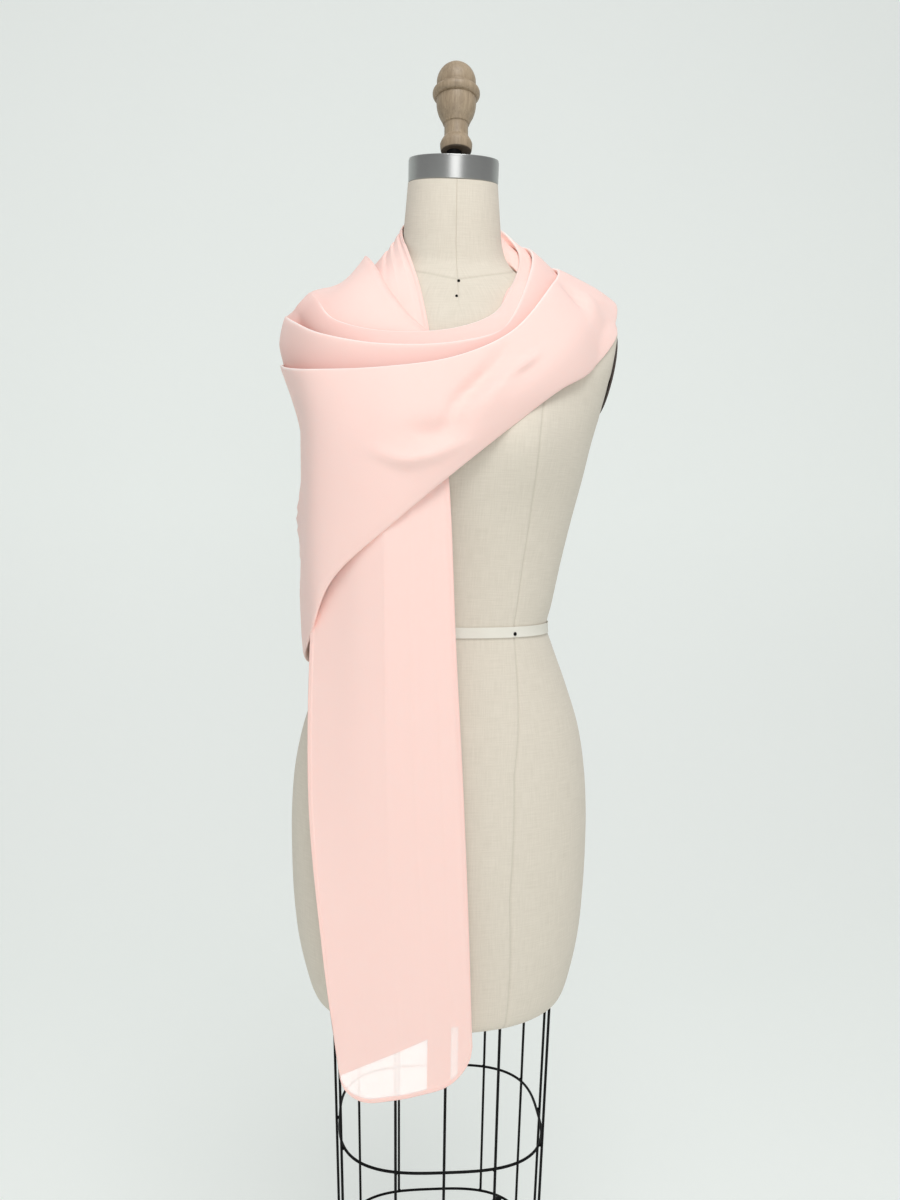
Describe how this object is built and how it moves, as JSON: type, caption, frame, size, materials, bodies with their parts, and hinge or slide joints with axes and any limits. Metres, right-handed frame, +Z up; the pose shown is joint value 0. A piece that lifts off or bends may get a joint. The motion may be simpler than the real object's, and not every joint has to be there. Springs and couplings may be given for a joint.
{
  "type": "evening stole on dress form",
  "caption": "Thin pink chiffon stole draped over the chest and shoulders of a limbless linen dress form, with a tail hanging down the front, above a wire cage and a round floor stand.",
  "frame": {"origin": "on the floor, at the centre of the round base, under the dress form's axis", "axes": "+Z up, the dress form faces -Y, +X is to the viewer's right when looking at its front"},
  "size_m": [0.42, 0.42, 1.6446],
  "materials": {
    "chiffon": "thin pale pink chiffon, matt with a soft sheen",
    "linen": "natural linen, plain weave with slubs",
    "tape": "woven cotton tape",
    "wood": "turned and oiled",
    "steel": "brushed",
    "brown": "dark brown paint",
    "black": "satin black paint"
  },
  "bodies": {
    "root": {"stole_shoulder_fan": "chiffon", "stole_chest_wrap": "chiffon", "stole_cowl_middle": "chiffon", "stole_cowl_upper": "chiffon", "stole_shoulder_panel": "chiffon", "stole_back_tail": "chiffon", "stole_neck_rise": "chiffon", "stole_front_tail": "chiffon", "stole_tail_under": "chiffon", "form_torso": "linen", "waist_tape": "tape", "armhole_plate_left": "brown", "armhole_plate_right": "brown", "neck_cap": "steel", "finial_stem": "black", "finial": "wood", "cage_hoop_upper": "black", "cage_hoop_lower": "black", "cage_wire_01": "black", "cage_wire_02": "black", "cage_wire_03": "black", "cage_wire_04": "black", "cage_wire_05": "black", "cage_wire_06": "black", "cage_wire_07": "black", "cage_wire_08": "black", "cage_wire_09": "black", "cage_wire_10": "black", "cage_wire_11": "black", "cage_wire_12": "black", "stand_base": "black", "stand_post": "black", "stand_hub": "black", "stand_arm_1": "black", "stand_arm_2": "black", "stand_arm_3": "black", "stand_arm_4": "black"}
  },
  "joints": []
}
